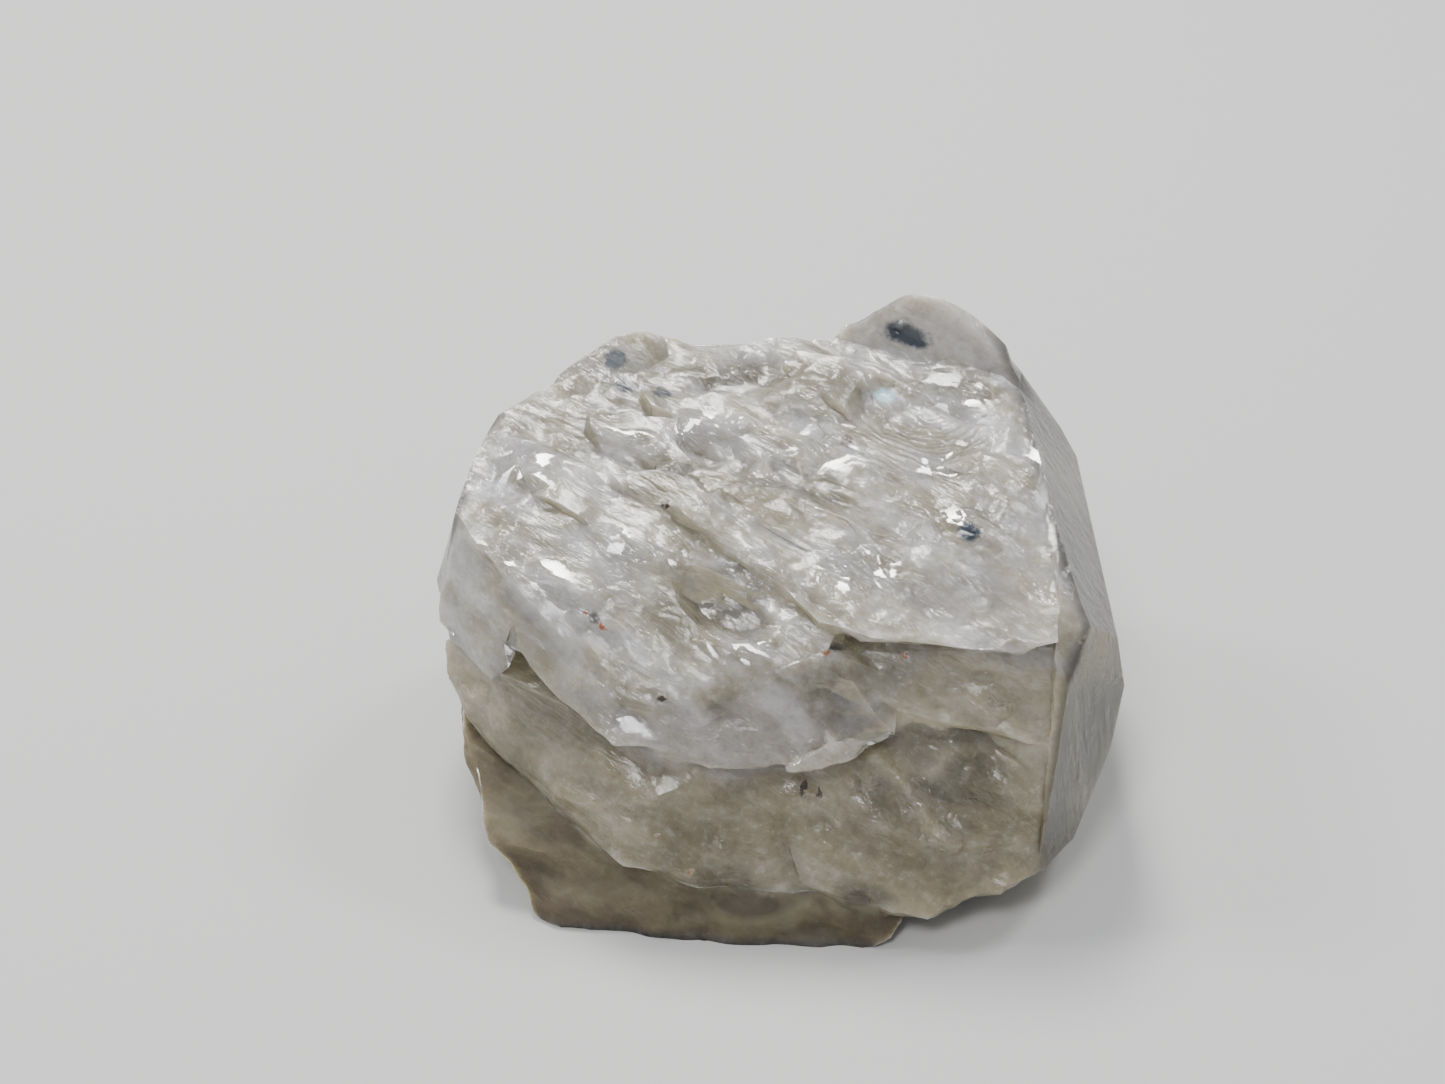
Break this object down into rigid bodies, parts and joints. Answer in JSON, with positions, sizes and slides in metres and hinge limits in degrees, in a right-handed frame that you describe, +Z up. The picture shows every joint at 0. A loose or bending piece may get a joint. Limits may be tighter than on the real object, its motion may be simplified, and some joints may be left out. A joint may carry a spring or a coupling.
{
  "type": "phenakite crystal",
  "caption": "Rough stubby mineral crystal: flat prism faces on the right and back, a sloping splintery broken top with a peak, stepped slabs at the front and a flat broken base.",
  "frame": {"origin": "centre of the flat broken base that the crystal rests on, under the middle of its box", "axes": "+Z up from the base, +X to the right along the crystal's widest side, -Y out of the broken front, so the prism faces are at +X and +Y"},
  "size_m": [0.0184, 0.0146, 0.0114],
  "materials": {
    "phenakite": "pale olive-grey natural crystal, part clear and part milky, with splintery broken surfaces and smooth prism faces"
  },
  "bodies": {
    "root": {"phenakite_crystal": "phenakite"}
  },
  "joints": []
}
